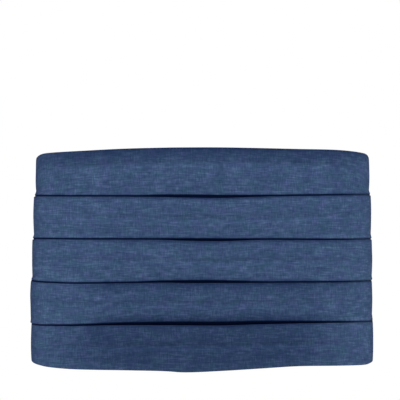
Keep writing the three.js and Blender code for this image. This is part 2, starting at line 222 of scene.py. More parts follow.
def step_out(pleat, along):
    rightward = smooth((along / TO_SIDE + 1) / 2)
    step = pleat["left"] + (pleat["right"] - pleat["left"]) * rightward
    return step * STEP_OUT * (1 - smooth(past_side(along)))


def gape_of(pleat, along):
    return pleat["gape"] * GAPE * hump((along / TO_SIDE - pleat["gape_at"]) / pleat["gape_reach"])


# An edge's height: a smooth curve through the table's places, drawn in between the side and the
# back to its place among the pleats' ends
def edge_height(column, along):
    number = EDGE_COLUMNS.index(column)
    places, shares = EDGES[:, 0], EDGES[:, number]
    slopes = np.gradient(shares)
    slopes[1:-1] = (shares[2:] - shares[:-2]) / (places[2:] - places[:-2])
    slopes[0] = (shares[1] - shares[0]) / (places[1] - places[0])
    slopes[-1] = (shares[-1] - shares[-2]) / (places[-1] - places[-2])
    at = np.clip(along / TO_SIDE, -1, 1)
    i = np.clip(np.searchsorted(places, at) - 1, 0, len(places) - 2)
    span = places[i + 1] - places[i]
    t = (at - places[i]) / span
    share = (
        shares[i]
        + (shares[i + 1] - shares[i]) * smooth(t)
        + t * (1 - t) ** 2 * span * slopes[i]
        + t * t * (t - 1) * span * slopes[i + 1]
    )
    at_end = END_HEIGHT * (0.5 - (number - 1) / len(PLEATS))
    t = past_side(along)
    drawn = 0.6 * t + 1.2 * t * t - 0.8 * t**3
    return share * HALF_HEIGHT * (1 - drawn) + at_end * drawn


# Soft dents in a face, as shares of DENT_DEPTH. number only sets one pleat's dents apart from
# another's.
def face_dents(number, along, height):
    dents = np.zeros_like(height)
    for i in range(height.shape[0]):
        for j in range(height.shape[1]):
            broad = (along[i] / BROAD_DENT[0], height[i, j] / BROAD_DENT[1], 7.3 * number)
            small = (along[i] / SMALL_DENT[0], height[i, j] / SMALL_DENT[1], 3.1 * number + 40)
            dents[i, j] = noise.noise(Vector(broad)) + 0.35 * noise.noise(Vector(small))
    return dents


# A strip's middle line at each station along the band, and the height where its face ends: up the
# turned-in ply, over the fold and down the face. The lowest pleat then turns up a hem. The others
# run in behind the next pleat and down their tail, which closes the next one's pocket.
def pleat_lines(number, along):
    pleat = PLEATS[number]
    last = number + 1 == len(PLEATS)
    fade = 1 - smooth(past_side(along))
    base = step_out(pleat, along)
    top = edge_height(pleat["edge"], along)
    below = edge_height(pleat["below"], along)
    pitch = top - below
    overlap = np.minimum(PLEAT_OVERLAP, PLEAT_OVERLAP / FRONT_HEIGHT * len(PLEATS) * pitch)
    fold_centre = top - FOLD_RADIUS - WALL / 2
    gape = gape_of(pleat, along)
    swell = fade * (SIDE_BULGE + (FACE_BULGE - SIDE_BULGE) * hump(along / TO_SIDE))
    tack_depth = TACK_DEPTH * (1 - smooth((np.abs(along / TO_SIDE) - 0.7) / 0.2))
    outs, heights, dented = [], [], []

    def add(out, height, dent=0.0):
        opened = gape * np.clip(1 - (top - height) / GAPE_FADE, 0, 1)
        tacked = tack_depth * hump((top - height - TACK_LINE[number > 0]) / TACK_REACH)
        outs.append(base + out + opened - (tacked if dent else 0))
        heights.append(height + 0 * along)
        dented.append(dent + 0 * along)

    def add_turn(centre, angles):
        for angle in angles:
            add(
                TURNED_OUT + FOLD_RADIUS * (1 + math.cos(angle)),
                centre + FOLD_RADIUS * math.sin(angle),
            )

    def add_face(shares, end):
        for t in shares:
            add(
                FACE_OUT + swell * math.sin(math.pi * t) ** 0.7,
                fold_centre + (end - fold_centre) * t,
                math.sin(math.pi * t),
            )

    for t in np.linspace(0, 1, PLY_STEPS + 1)[:-1]:
        add(TURNED_OUT, top - overlap + (fold_centre - top + overlap) * t)
    add_turn(fold_centre, np.linspace(math.pi, 0, FOLD_STEPS + 1))
    face_shares = np.linspace(0, 1, FACE_STEPS + 1)[1:]
    if last:
        foot = below
        hem_centre = below + FOLD_RADIUS + WALL / 2
        add_face(face_shares[:-1], hem_centre)
        add_turn(hem_centre, np.linspace(0, -math.pi, FOLD_STEPS + 1))
        hem = np.minimum(HEM, pitch - overlap - FOLD_RADIUS)
        for t in np.linspace(0, 1, HEM_STEPS + 1)[1:]:
            add(TURNED_OUT, hem_centre + (hem - (hem_centre - below)) * t)
    else:
        following = PLEATS[number + 1]
        stepped = step_out(following, along) - base
        opened = gape_of(following, along) / GAPE
        tail = stepped + TAIL_OUT + (GAPING_TAIL_OUT - TAIL_OUT) * np.sqrt(opened)
        foot = below + CREASE + LIP_RISE * opened
        turn_top = foot + SOFT_TURN
        flared = np.maximum(0, LIP_FLARE * fade * (1 - opened) + 0.3 * stepped)
        turned = flared - LIP_TUCK * opened
        add_face(face_shares, turn_top)
        for t in np.linspace(0, 1, LIP_STEPS + 1)[1:]:
            add(FACE_OUT + turned * t * t, turn_top + (foot - turn_top) * t)
        lip_out = FACE_OUT + turned
        controls = [
            (lip_out, foot),
            (lip_out - LIP_CURL, foot - LIP_DROP),
            (tail + 0.5 * (lip_out - tail), foot - INWARD_DROP),
            (tail, below - TAIL_TOP),
        ]
        for t in np.linspace(0, 1, INWARD_STEPS + 1)[1:]:
            weights = ((1 - t) ** 3, 3 * t * (1 - t) ** 2, 3 * t * t * (1 - t), t**3)
            add(
                sum(w * c[0] for w, c in zip(weights, controls)),
                sum(w * c[1] for w, c in zip(weights, controls)),
            )
        reach = np.minimum(overlap, pitch - WALL)
        for t in np.linspace(0, 1, TAIL_STEPS + 1)[1:]:
            closing = (stepped + TAIL_OUT - tail) * smooth((t - 0.2) / 0.6)
            add(tail + closing, below - TAIL_TOP - (reach - TAIL_TOP) * t)

    out = np.array(outs).T
    height = np.array(heights).T
    dents = face_dents(number, along, height)
    if last:
        dents = dents + RIDGE_RISE * hump((along - RIDGE_X) / RIDGE_REACH)[:, None]
    out += np.array(dented).T * fade[:, None] * (DENT_DEPTH * dents + DENT_LIFT)
    return out, height, foot


# Painted shade on the cloth's colour, a row a pleat. middle: across the middle of the front;
# under_fold: times that just under the fold, recovering over fade; over_next: times that just
# over the next fold, over rise; at and reach: where the middle is and how far it goes each way,
# as shares of the way to the side.
PAINTED_SHADE_COLUMNS = ("middle", "under_fold", "fade", "over_next", "rise", "at", "reach")
PAINTED_SHADE_ROWS = [
    (0.99, 0.44, 15 * MM, 0.8, 2.6 * MM, 0.0, 1.15),
    (0.99, 0.75, 3 * MM, 0.75, 3.0 * MM, 0.0, 0.7),
    (0.96, 0.72, 5 * MM, 0.65, 3.2 * MM, 0.05, 0.75),
    (0.84, 0.62, 9 * MM, 0.5, 5.8 * MM, 0.04, 0.8),
    (0.59, 0.9, 3 * MM, 1.0, 1.0 * MM, -0.03, 0.86),
]
PAINTED_SHADES = [dict(zip(PAINTED_SHADE_COLUMNS, row)) for row in PAINTED_SHADE_ROWS]

# The rest of the painted light and shade. A pair says where a change starts and over how much it
# comes, as shares of the way to the side.
FACE_SHADE = 0.875  # painted level of an open face, which leaves room for the painted highlights at the ends and lips
LEFT_END_HIGHLIGHT = 0.07  # painted highlight: how much brighter a face is painted towards each side
RIGHT_END_HIGHLIGHT = 0.04
ENDS_BEGIN = (0.4, 0.3)
ENDS_STOP = (0.86, 0.12)
MIDDLE_EDGE = 0.45  # share of a painted shade row's reach over which it comes in
LEFT_RIM = 0.4  # painted shade: how much darker the cloth is painted where each side is widest
LEFT_RIM_REACH = 0.2
RIGHT_RIM = 0.25
RIGHT_RIM_REACH = 0.14
CROWN_SHADE = 0.58  # painted shade: how much darker the crown of a fold is painted in the middle
CROWN_AT_SIDES = 0.45  # share of that left at the sides
CROWN_AT = 0.1
CROWN_HEIGHT = 2.2 * MM
LIP_HIGHLIGHT = 0.08  # painted highlight: how much brighter a lip is painted at the sides
HEM_HIGHLIGHT = 0.3  # painted highlight: how much brighter the lowest pleat's bottom edge is painted in the middle
RIDGE_HIGHLIGHT = 0.12  # and on its ridge
POCKET_SHADE = 0.06  # painted shade in behind the next pleat's fold
RIGHT_POCKET_SHADE = 0.4  # added to that near the right side, where the pockets lie closed, so the painted shade is paler
RIGHT_POCKETS = (0.69, 0.18)
POCKET_EDGE = 0.15 * MM  # height over the lip where a pocket's painted shade begins
POCKET_FADE = 0.5 * MM
INNER_SHADE = 0.76  # painted shade on the cloth's inner side


# Paints light and shade into a pleat's colour, as attribute shade: darker across the middle, under
# the folds, over the fold crowns, at the widest sides and deep in the pockets, brighter towards the
# ends, at the lips, along the lowest hem and on the ridge.
def pleat_shade(number, along, height, foot):
    tone = PAINTED_SHADES[number]
    across = along / TO_SIDE
    from_centre = np.abs(across)
    fallen = edge_height(PLEATS[number]["edge"], along)[:, None] - height
    risen = height - foot[:, None]
    middle = smooth((1 - np.abs(across - tone["at"]) / tone["reach"]) / MIDDLE_EDGE)[:, None]
    end = smooth((from_centre - ENDS_BEGIN[0]) / ENDS_BEGIN[1])
    end = end * (1 - smooth((from_centre - ENDS_STOP[0]) / ENDS_STOP[1]))
    end = (end * np.where(along < 0, LEFT_END_HIGHLIGHT, RIGHT_END_HIGHLIGHT))[:, None]
    rim = LEFT_RIM * hump((across + 1) / LEFT_RIM_REACH)
    rim = (rim + RIGHT_RIM * hump((across - 1) / RIGHT_RIM_REACH))[:, None]
    shade = (FACE_SHADE + end) * (1 - rim) * (1 - middle * (1 - tone["middle"]))
    shade = shade * (1 - middle * (1 - tone["under_fold"]) * (1 - smooth(fallen / tone["fade"])))
    crown = CROWN_AT_SIDES + (1 - CROWN_AT_SIDES) * hump(across - CROWN_AT)
    crown = (CROWN_SHADE * crown)[:, None]
    shade = shade * (1 - crown * (1 - smooth(fallen / CROWN_HEIGHT)))
    if number + 1 == len(PLEATS):
        ridge = hump((along - RIDGE_X) / RIDGE_REACH)[:, None]
        edge = middle * (1 - smooth(risen / HEM))
        return shade * (1 + HEM_HIGHLIGHT * edge + RIDGE_HIGHLIGHT * ridge)
    near = 1 - smooth(risen / tone["rise"])
    shade = shade * (1 - near * (middle * (1 - tone["over_next"]) - LIP_HIGHLIGHT * (1 - middle)))
    closed = smooth((across - RIGHT_POCKETS[0]) / RIGHT_POCKETS[1])
    pocket = (POCKET_SHADE + RIGHT_POCKET_SHADE * closed)[:, None]
    return shade * (1 - (1 - pocket) * smooth((POCKET_EDGE - risen) / POCKET_FADE))


# An sRGB colour as the linear one that a node takes
def hex_colour(code):
    channels = [int(code[i : i + 2], 16) / 255 for i in (0, 2, 4)]
    linear = [c / 12.92 if c <= 0.04045 else ((c + 0.055) / 1.055) ** 2.4 for c in channels]
    return (*linear, 1.0)


def new_material(name):
    material = bpy.data.materials.new(name)
    material.use_nodes = True
    material.node_tree.nodes.clear()
    return material


# Adds one node with its inputs set, or linked where a socket is given. An input goes by its name,
# with _ for a space, or by i and its number where several have one name.
def add_node(material, kind, settings=None, **inputs):
    node = material.node_tree.nodes.new(kind)
    for name, value in (settings or {}).items():
        setattr(node, name, value)
    for name, value in inputs.items():
        key = int(name[1:]) if name[0] == "i" and name[1:].isdigit() else name.replace("_", " ")
        if isinstance(value, bpy.types.NodeSocket):
            material.node_tree.links.new(value, node.inputs[key])
        else:
            node.inputs[key].default_value = value
    return node


# Plain-weave cloth of uneven spun yarns, dyed navy. It gives the eye a dull face with no gloss,
# fine paler and darker streaks both ways, and a slight drift from a greener to a more violet navy.
# Its yarns are too fine to show one by one, so the finest streaks are drawn 0.87 mm wide. The UV
# map is in metres, along and up the strip. Attribute shade carries painted light and shade: near 1
# on an open face, and where it falls the cloth is painted towards a deep navy as shade.
CLOTH_STREAKS = [  # length along the strip, length up it, weight
    (6.67 * MM, 0.87 * MM, 1.0),  # yarns along the strip
    (0.87 * MM, 5 * MM, 0.95),  # yarns across it
    (8.33 * MM, 2.38 * MM, 0.75),  # slubs, the thick places in the yarns
    (16.7 * MM, 11.1 * MM, 0.5),  # uneven dye
]
STREAKS_DARKEST = 0.98  # the streaks' weighted sum where the cloth is darkest
STREAKS_LIGHTEST = 2.22
HUE_PATCH = (7.7 * MM, 6.67 * MM)
GREENER = "E9FFF3"
MORE_VIOLET = "F8F3FF"
# the colour that painted shade goes to
PAINTED_SHADE_NAVY = "001238"
YARN_PITCH = 0.55 * MM
YARN_RELIEF = 0.12 * MM


def cloth_material(name, dark, middle, light):
    m = new_material(name)
    uv = add_node(m, "ShaderNodeUVMap").outputs[0]

    def streaks(length, height, detail):
        scale = (1 / length, 1 / height, 0.0)
        scaled = add_node(
            m, "ShaderNodeVectorMath", {"operation": "MULTIPLY"}, i0=uv, i1=scale
        ).outputs[0]
        return add_node(
            m, "ShaderNodeTexNoise", Vector=scaled, Scale=1.0, Detail=detail, Roughness=0.55
        ).outputs[0]

    threads = 0.0
    for length, height, weight in CLOTH_STREAKS:
        threads = add_node(
            m,
            "ShaderNodeMath",
            {"operation": "MULTIPLY_ADD"},
            i0=streaks(length, height, 2.0),
            i1=weight,
            i2=threads,
        ).outputs[0]
    tone = add_node(
        m,
        "ShaderNodeMapRange",
        Value=threads,
        From_Min=STREAKS_DARKEST,
        From_Max=STREAKS_LIGHTEST,
    ).outputs[0]
    yarns = add_node(m, "ShaderNodeValToRGB", Fac=tone)
    yarns.color_ramp.elements[0].color = hex_colour(dark)
    yarns.color_ramp.elements[1].color = hex_colour(light)
    yarns.color_ramp.elements.new(0.5).color = hex_colour(middle)
    hue = add_node(m, "ShaderNodeValToRGB", Fac=streaks(*HUE_PATCH, 1.0))
    hue.color_ramp.elements[0].position = 0.3
    hue.color_ramp.elements[0].color = hex_colour(GREENER)
    hue.color_ramp.elements[1].position = 0.7
    hue.color_ramp.elements[1].color = hex_colour(MORE_VIOLET)
    dyed = add_node(
        m,
        "ShaderNodeVectorMath",
        {"operation": "MULTIPLY"},
        i0=yarns.outputs[0],
        i1=hue.outputs[0],
    ).outputs[0]
    shade = add_node(m, "ShaderNodeAttribute", {"attribute_name": "shade"}).outputs["Fac"]
    shaded = add_node(
        m,
        "ShaderNodeMix",
        {"data_type": "RGBA"},
        i0=shade,
        i6=hex_colour(PAINTED_SHADE_NAVY),
        i7=dyed,
    ).outputs[2]

    turns = add_node(
        m, "ShaderNodeVectorMath", {"operation": "SCALE"}, i0=uv, Scale=2 * math.pi / YARN_PITCH
    ).outputs[0]
    waves = add_node(m, "ShaderNodeVectorMath", {"operation": "SINE"}, i0=turns).outputs[0]
    over, under, _ = add_node(m, "ShaderNodeSeparateXYZ", i0=waves).outputs
    weave = add_node(m, "ShaderNodeMath", {"operation": "MULTIPLY"}, i0=over, i1=under).outputs[0]
    relief = add_node(
        m, "ShaderNodeMath", {"operation": "MULTIPLY_ADD"}, i0=weave, i1=0.35, i2=threads
    ).outputs[0]
    bump = add_node(
        m, "ShaderNodeBump", Strength=0.5, Distance=YARN_RELIEF, Height=relief
    ).outputs[0]
    shader = add_node(
        m,
        "ShaderNodeBsdfPrincipled",
        Base_Color=shaded,
        Roughness=0.95,
        Normal=bump,
        Specular_IOR_Level=0.08,
    ).outputs[0]
    add_node(m, "ShaderNodeOutputMaterial", Surface=shader)
    return m


# A strip as a closed wall: its outer side, its inner side, and a cap at each end
def wall_mesh(name, outer, inner, uv, shade):
    stations, points = outer.shape[:2]
    ring = np.concatenate([outer, inner[:, ::-1]], axis=1)
    count = 2 * points
    a = np.arange(stations - 1)[:, None] * count + np.arange(count)[None]
    b = np.arange(stations - 1)[:, None] * count + (np.arange(count)[None] + 1) % count
    faces = np.stack([a, b, b + count, a + count], axis=-1).reshape(-1, 4)
    i = np.arange(points - 1)
    cap = np.stack([i + 1, i, count - 1 - i, count - 2 - i], axis=-1)
    far_cap = cap[:, ::-1] + (stations - 1) * count
    faces = np.concatenate([faces, cap, far_cap])
    mesh = bpy.data.meshes.new(name)
    mesh.from_pydata(ring.reshape(-1, 3).tolist(), [], faces.tolist())
    ring_uv = np.concatenate([uv, uv[:, ::-1]], axis=1).reshape(-1, 2)
    layer = mesh.uv_layers.new(name="UVMap")
    corners = np.zeros(len(mesh.loops), dtype=np.int32)
    mesh.loops.foreach_get("vertex_index", corners)
    layer.data.foreach_set("uv", ring_uv[corners].astype(np.float32).ravel())
    # The outer side takes the pleat's painted light and shade, the inner side an even painted shade.
    values = np.concatenate([shade, np.full_like(shade, INNER_SHADE)], axis=1).ravel()
    shades = mesh.attributes.new("shade", "FLOAT", "POINT")
    shades.data.foreach_set("value", values.astype(np.float32))
    return mesh


def add_piece(name, mesh, material, sharp_degrees):
    mesh.materials.append(material)
    mesh.shade_smooth()
    mesh.set_sharp_from_angle(angle=math.radians(sharp_degrees))
    made = bpy.data.objects.new(name, mesh)
    bpy.context.scene.collection.objects.link(made)
    return made


CLOTH_SHIFT = (0.7, 0.31)  # metres of cloth between one strip's place in the weave and the next's

pleat_cloth = cloth_material("pleat_woven_cloth", "26395B", "3F5273", "63759C")
half_stations = round(TO_END / STATION_STEP)
along = np.linspace(-TO_END, TO_END, 2 * half_stations + 1)
for number in range(len(PLEATS)):
    out, height, foot = pleat_lines(number, along)
    shade = pleat_shade(number, along, height, foot)
    tangent_out = np.gradient(out, axis=1)
    tangent_height = np.gradient(height, axis=1)
    size = np.hypot(tangent_out, tangent_height)
    normal_out, normal_height = -tangent_height / size, tangent_out / size
    sides = []
    for sign in (1, -1):
        side_out = out + sign * normal_out * WALL / 2
        side_height = height + sign * normal_height * WALL / 2
        farthest = np.where(side_height > 0, TOP_LEAN, BOTTOM_LEAN) * hump(along / TO_SIDE)[:, None]
        side_out = side_out - farthest * np.abs(side_height / HALF_HEIGHT) ** 3
        x, y = on_loop(along[:, None] + 0 * side_out, side_out)
        sides.append(np.stack([x, y, side_height], axis=-1))
    length = np.cumsum(size, axis=1)
    shift_along, shift_up = (number * shift for shift in CLOTH_SHIFT)
    uv = np.stack([along[:, None] + 0 * length + shift_along, length + shift_up], axis=-1)
    name = f"pleat_{number + 1}_cloth"
    piece = add_piece(name, wall_mesh(name, *sides, uv, shade), pleat_cloth, 50)
    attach(piece, "root")
    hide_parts(f"pleat_{number + 1}")

# The straps: each is one strip of the same weave in a slightly darker navy. It starts on the outer
# side of the tab, narrows, goes round the clasp's bar and comes back on the inner side, and its
# two plies are sewn together over the pleats' ends. Rings of points round the strip follow it.
TAB_END_X = 44.5 * MM
TAB_SLOPE = 16 * MM
TAB_HEIGHT = 66 * MM
TAB_PLY = 1.0 * MM
STRAP_WIDTH = 38 * MM
MID_OUT = STACK / 2
PLIES_MEET = 0.92  # share of the half height past which the strap's two plies are sewn together
PLIES_MEET_OVER = 0.05
SEWN_FROM_X = 28 * MM
SEWN_OVER = 5 * MM
HALF_PLY_GAP = 0.05 * MM
RIPPLE_DEPTH = 0.12 * MM
RIPPLE_LENGTH = 9 * MM
RIPPLE_FROM_X = 24 * MM
EDGE_THINNING = 0.55  # share of a ply's half thickness that its rounded edges lose
EDGE_POWER = 14
BAR_X = 15.2 * MM
BAR_TURN_RADIUS = 1.9 * MM
ROUTE_HALF = [  # (x, distance from the middle of the thickness), from the tab's edge to the bar
    (TAB_START_X, 2.7 * MM),
    (54 * MM, 2.75 * MM),
    (50 * MM, 2.7 * MM),
    (46 * MM, 2.6 * MM),
    (43 * MM, 2.2 * MM),
    (39 * MM, 1.0 * MM),
    (36 * MM, 0.62 * MM),
    (31 * MM, 0.6 * MM),
    (25 * MM, 0.6 * MM),
    (22 * MM, 0.75 * MM),
    (19.5 * MM, 1.4 * MM),
    (17.2 * MM, 1.85 * MM),
]
SIDES = ((-1, "left"), (1, "right"))


def smooth_route(points, parts):
    points = [np.array(p) for p in points]
    ends = [2 * points[0] - points[1], *points, 2 * points[-1] - points[-2]]
    route = []
    for a, b, c, d in zip(ends, ends[1:], ends[2:], ends[3:]):
        for t in np.arange(parts) / parts:
            square = (2 * a - 5 * b + 4 * c - d) * t**2
            cube = (3 * b - a - 3 * c + d) * t**3
            route.append(0.5 * (2 * b + (c - a) * t + square + cube))
    return np.array([*route, points[-1]])


def plies_meet(x, level):
    past_bar = float(smooth((x - SEWN_FROM_X) / SEWN_OVER))
    return past_bar * float(smooth((abs(level) - PLIES_MEET) / PLIES_MEET_OVER))


def ply_out(o, x, level):
    return o + (math.copysign(TAB_PLY / 2 + HALF_PLY_GAP, o) - o) * plies_meet(x, level)


def strap_height(x):
    return STRAP_WIDTH + (TAB_HEIGHT - STRAP_WIDTH) * smooth((x - TAB_END_X + TAB_SLOPE) / TAB_SLOPE)


bar_turn = [
    (BAR_X - BAR_TURN_RADIUS * math.sin(angle), BAR_TURN_RADIUS * math.cos(angle))
    for angle in np.linspace(0.15, math.pi - 0.15, 9)
]
strap_route = smooth_route(ROUTE_HALF + bar_turn + [(x, -o) for x, o in ROUTE_HALF[::-1]], 4)


def strap_mesh(name, side):
    tangent = np.gradient(strap_route, axis=0)
    tangent /= np.hypot(tangent[:, 0], tangent[:, 1])[:, None]
    normal = np.stack([-tangent[:, 1], tangent[:, 0]], axis=-1)
    steps = np.hypot(*np.gradient(strap_route, axis=0).T)
    travelled = np.cumsum(steps)
    edge = np.array([0.94, 0.955, 0.97, 0.985, 1.0])
    levels = np.concatenate([-edge[::-1], np.linspace(-PLIES_MEET, PLIES_MEET, 23), edge])
    ring = []
    for face, order in ((1, levels), (-1, levels[::-1])):
        ring += [(face * (1 - abs(level) ** EDGE_POWER * EDGE_THINNING), level) for level in order]
    vertices, coordinates = [], []
    for (x, o), (nx, no), run in zip(strap_route, normal, travelled):
        half = strap_height(x) / 2
        for face, level in ring:
            ripple = noise.noise(Vector((x / RIPPLE_LENGTH, level * 2.4, side * 5 + o / (2 * MM))))
            ripple *= (1 - plies_meet(x, level)) * float(x > RIPPLE_FROM_X)
            reach = face * TAB_PLY / 2 + RIPPLE_DEPTH * ripple
            out = MID_OUT + ply_out(o, x, level) + no * reach
            vertices.append((side * (x + nx * reach), BACK_Y + out, half * level))
            coordinates.append((run, half * level))
    count = len(ring)
    rows = len(strap_route)
    faces = []
    for i in range(rows - 1):
        for j in range(count):
            k = (j + 1) % count
            faces.append((i * count + j, i * count + k, (i + 1) * count + k, (i + 1) * count + j))
    faces.append(tuple(range(count))[::-1])
    faces.append(tuple((rows - 1) * count + j for j in range(count)))
    mesh = bpy.data.meshes.new(name)
    mesh.from_pydata(vertices, [], faces)
    layer = mesh.uv_layers.new(name="UVMap")
    for loop in mesh.loops:
        layer.data[loop.index].uv = coordinates[loop.vertex_index]
    # The straps take the same painted shade level as an open pleat face, all over.
    shades = np.full(len(mesh.vertices), FACE_SHADE, dtype=np.float32)
    mesh.attributes.new("shade", "FLOAT", "POINT").data.foreach_set("value", shades)
    shape = bmesh.new()
    shape.from_mesh(mesh)
    bmesh.ops.recalc_face_normals(shape, faces=shape.faces)
    shape.to_mesh(mesh)
    shape.free()
    return mesh


strap_cloth = cloth_material("strap_woven_cloth", "223355", "3A4C6E", "5C6F93")
for side, side_name in SIDES:
    name = f"strap_{side_name}_cloth"
    piece = add_piece(name, strap_mesh(name, side), strap_cloth, 50)
    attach(piece, "root")
    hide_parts(f"strap_{side_name}")

# The straps' stitches: short lengths of spun thread, sewn through both plies. The seams run round
# the tab's edges and across the strap beside the clasp, and show on both faces of the cloth.
# Geometry Nodes set one stitch after another along each.
STITCH_LENGTH = 2.1 * MM
STITCH_PITCH = 3.0 * MM
THREAD_RADIUS = 0.22 * MM
THREAD_TWIST = 0.25 * MM  # from one turn of the thread's plies to the next
STITCH_LIFT = 0.02 * MM  # of a stitch's middle over the cloth
SEAM_LEVEL = 0.93  # of the seams along the tab's edges, as a share of the strap's half height


# Spun sewing thread, a paler navy than the cloth. Its twist gives the eye a tone that comes and
# goes along each stitch, with a faint gloss.
def thread_material():
    m = new_material("spun_thread")
    coordinates = add_node(m, "ShaderNodeTexCoord").outputs["Object"]
    twist = add_node(
        m, "ShaderNodeTexNoise", Vector=coordinates, Scale=1 / THREAD_TWIST, Detail=1.0
    ).outputs[0]
    ramp = add_node(m, "ShaderNodeValToRGB", Fac=twist)
    ramp.color_ramp.elements[0].color = hex_colour("40547C")
    ramp.color_ramp.elements[1].color = hex_colour("6F83AA")
    shader = add_node(
        m,
        "ShaderNodeBsdfPrincipled",
        Base_Color=ramp.outputs[0],
        Roughness=0.6,
        Specular_IOR_Level=0.3,
    ).outputs[0]
    add_node(m, "ShaderNodeOutputMaterial", Surface=shader)
    return m


# One stitch, as a spindle of thread. Its faces are put in order, because the sphere's own order
# changes from one run to the next.
thread = thread_material()
stitch_shape = bmesh.new()
bmesh.ops.create_uvsphere(stitch_shape, u_segments=8, v_segments=6, radius=1.0)
bmesh.ops.scale(
    stitch_shape,
    vec=(THREAD_RADIUS, THREAD_RADIUS, STITCH_LENGTH / 2),
    verts=stitch_shape.verts,
)
stitch_shape.verts.index_update()
corners = [[vertex.index for vertex in face.verts] for face in stitch_shape.faces]
faces = sorted(c[c.index(min(c)) :] + c[: c.index(min(c))] for c in corners)
stitch_mesh = bpy.data.meshes.new("stitch")
stitch_mesh.from_pydata([tuple(vertex.co) for vertex in stitch_shape.verts], [], faces)
stitch_shape.free()
stitch_mesh.shade_smooth()
stitch = bpy.data.objects.new("stitch", stitch_mesh)


def stitch_group():
    group = bpy.data.node_groups.new("stitches_along_seams", "GeometryNodeTree")
    group.interface.new_socket("Geometry", in_out="INPUT", socket_type="NodeSocketGeometry")
    group.interface.new_socket("Stitch", in_out="INPUT", socket_type="NodeSocketObject")
    group.interface.new_socket("Pitch", in_out="INPUT", socket_type="NodeSocketFloat")
    group.interface.new_socket("Material", in_out="INPUT", socket_type="NodeSocketMaterial")
    group.interface.new_socket("Geometry", in_out="OUTPUT", socket_type="NodeSocketGeometry")
    nodes = {}
    for key, kind in (
        ("start", "NodeGroupInput"),
        ("curve", "GeometryNodeMeshToCurve"),
        ("points", "GeometryNodeCurveToPoints"),
        ("thread", "GeometryNodeObjectInfo"),
        ("place", "GeometryNodeInstanceOnPoints"),
        ("solid", "GeometryNodeRealizeInstances"),
        ("paint", "GeometryNodeSetMaterial"),
        ("end", "NodeGroupOutput"),
    ):
        nodes[key] = group.nodes.new(kind)
    nodes["points"].mode = "LENGTH"
    for a, out, b, into in (
        ("start", "Geometry", "curve", "Mesh"),
        ("curve", "Curve", "points", "Curve"),
        ("start", "Pitch", "points", "Length"),
        ("start", "Stitch", "thread", "Object"),
        ("points", "Points", "place", "Points"),
        ("points", "Rotation", "place", "Rotation"),
        ("thread", "Geometry", "place", "Instance"),
        ("place", "Instances", "solid", "Geometry"),
        ("solid", "Geometry", "paint", "Geometry"),
        ("start", "Material", "paint", "Material"),
        ("paint", "Geometry", "end", "Geometry"),
    ):
        group.links.new(nodes[a].outputs[out], nodes[b].inputs[into])
    return group


# Each seam, as places on the strap's face: (x, height as a share of the strap's half height)
def upright_seam(x, level, count):
    return [(x, place) for place in np.linspace(-level, level, count)]


top_seam = [(x, SEAM_LEVEL) for x in np.linspace(TAB_START_X - 3.5 * MM, 31 * MM, 14)]
SEAMS = [
    upright_seam(TAB_START_X - 2.2 * MM, SEAM_LEVEL, 12),
    top_seam,
    [(x, -level) for x, level in top_seam],
    upright_seam(TAB_END_X + 2.5 * MM, 0.85, 12),
    upright_seam(24 * MM, 0.86, 8),
]
outer_route = strap_route[: len(strap_route) // 2]
seam_order = np.argsort(outer_route[:, 0])


def face_distance(x, level):
    middle = float(np.interp(x, outer_route[seam_order, 0], outer_route[seam_order, 1]))
    return ply_out(middle, x, level) + TAB_PLY / 2


group = stitch_group()
for side, side_name in SIDES:
    vertices, edges = [], []
    for face in (1, -1):
        for seam in SEAMS:
            start = len(vertices)
            for x, level in seam:
                lift = face * (face_distance(x, level) + STITCH_LIFT)
                vertices.append(
                    (side * x, BACK_Y + MID_OUT + lift, level * strap_height(x) / 2)
                )
            edges += [(i, i + 1) for i in range(start, len(vertices) - 1)]
    seam_mesh = bpy.data.meshes.new("seams")
    seam_mesh.from_pydata(vertices, edges, [])
    seams = bpy.data.objects.new("seams", seam_mesh)
    bpy.context.scene.collection.objects.link(seams)
    modifier = seams.modifiers.new("stitches", "NODES")
    modifier.node_group = group
    values = {"Stitch": stitch, "Pitch": STITCH_PITCH, "Material": thread}
    for item in group.interface.items_tree:
        if item.in_out == "INPUT" and item.name in values:
            modifier[item.identifier] = values[item.name]
    depsgraph = bpy.context.evaluated_depsgraph_get()
    made_mesh = bpy.data.meshes.new_from_object(seams.evaluated_get(depsgraph))
    made_mesh.shade_smooth()
    piece = bpy.data.objects.new(f"stitches_{side_name}", made_mesh)
    bpy.context.scene.collection.objects.link(piece)
    bpy.data.objects.remove(seams)
    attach(piece, "root")

# The clasp: a flat plate of plated steel, stamped out with a slot for each strap and its edges
# rounded over. Each strap is looped round one of its two outer bars and hides it.
CLASP_HEIGHT = 47.2 * MM
CLASP_HALF_WIDTH = 17 * MM
CLASP_CORNER = 3 * MM
SLOT_X = (8 * MM, 14 * MM)
SLOT_HALF_HEIGHT = 19.6 * MM
SLOT_CORNER = 0.6 * MM
PLATE = 2.0 * MM
PLATE_BEVEL = 0.45 * MM
BRUSH_LENGTH = 16.7 * MM
BRUSH_SPACING = 0.24 * MM
BRUSH_DEPTH = 0.02 * MM
WORN_PATCH = 4.5 * MM


def rounded_outline(x0, x1, z0, z1, radius):
    outline = []
    for cx, cz, start in (
        (x1 - radius, z1 - radius, 0.0),
        (x0 + radius, z1 - radius, 0.5),
        (x0 + radius, z0 + radius, 1.0),
        (x1 - radius, z0 + radius, 1.5),
    ):
        for angle in np.linspace(start * math.pi, (start + 0.5) * math.pi, 7):
            outline.append((cx + radius * math.cos(angle), cz + radius * math.sin(angle)))
    return outline


